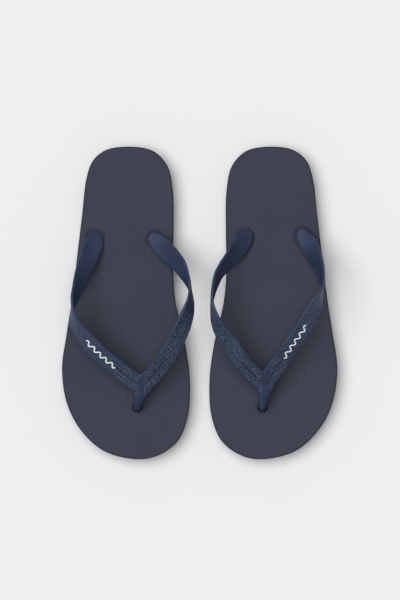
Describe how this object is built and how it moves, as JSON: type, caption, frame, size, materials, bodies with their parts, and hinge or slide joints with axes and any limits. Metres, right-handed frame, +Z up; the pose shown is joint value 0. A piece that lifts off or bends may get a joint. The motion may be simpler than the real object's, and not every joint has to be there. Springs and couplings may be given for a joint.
{
  "type": "flip flops",
  "caption": "Thong flip flops, left and right, with flat laminated foam soles that bend at the ball of the foot and moulded Y straps with a toe post.",
  "frame": {"origin": "on the floor under the middle of the box around the pair", "axes": "+Z up, +Y toward the heels, -Y toward the toes, +X from the right shoe to the left shoe"},
  "size_m": [0.2464, 0.2799, 0.0587],
  "materials": {
    "footbed": "matte foam with a very fine grain",
    "midsole": "matte skived foam",
    "outsole": "matte textured tread",
    "strap": "satin moulded, pebbled on the outer face",
    "strap_mark": "satin print in relief"
  },
  "bodies": {
    "right_shoe": {"right_rear_footbed": "footbed", "right_rear_midsole": "midsole", "right_rear_outsole": "outsole", "right_strap": "strap", "right_strap_mark": "strap_mark"},
    "right_forefoot": {"right_fore_footbed": "footbed", "right_fore_midsole": "midsole", "right_fore_outsole": "outsole"},
    "left_shoe": {"left_rear_footbed": "footbed", "left_rear_midsole": "midsole", "left_rear_outsole": "outsole", "left_strap": "strap", "left_strap_mark": "strap_mark"},
    "left_forefoot": {"left_fore_footbed": "footbed", "left_fore_midsole": "midsole", "left_fore_outsole": "outsole"}
  },
  "joints": [
    {"name": "right_sole_flex", "type": "hinge", "parent": "right_shoe", "child": "right_forefoot", "pos_m": [-0.066, -0.0476, 0.016], "axis": [-1, 0, 0], "range_deg": [0, 40], "stiffness_Nm_per_rad": 0.6, "deforming": ["right_strap", "right_strap_mark"]},
    {"name": "left_shoe_lift", "type": "slide", "parent": "right_shoe", "child": "left_shoe", "axis": [0, 0, 1], "range_m": [0, 0.1]},
    {"name": "left_sole_flex", "type": "hinge", "parent": "left_shoe", "child": "left_forefoot", "pos_m": [0.066, -0.0476, 0.016], "axis": [-1, 0, 0], "range_deg": [0, 40], "stiffness_Nm_per_rad": 0.6, "deforming": ["left_strap", "left_strap_mark"]}
  ]
}
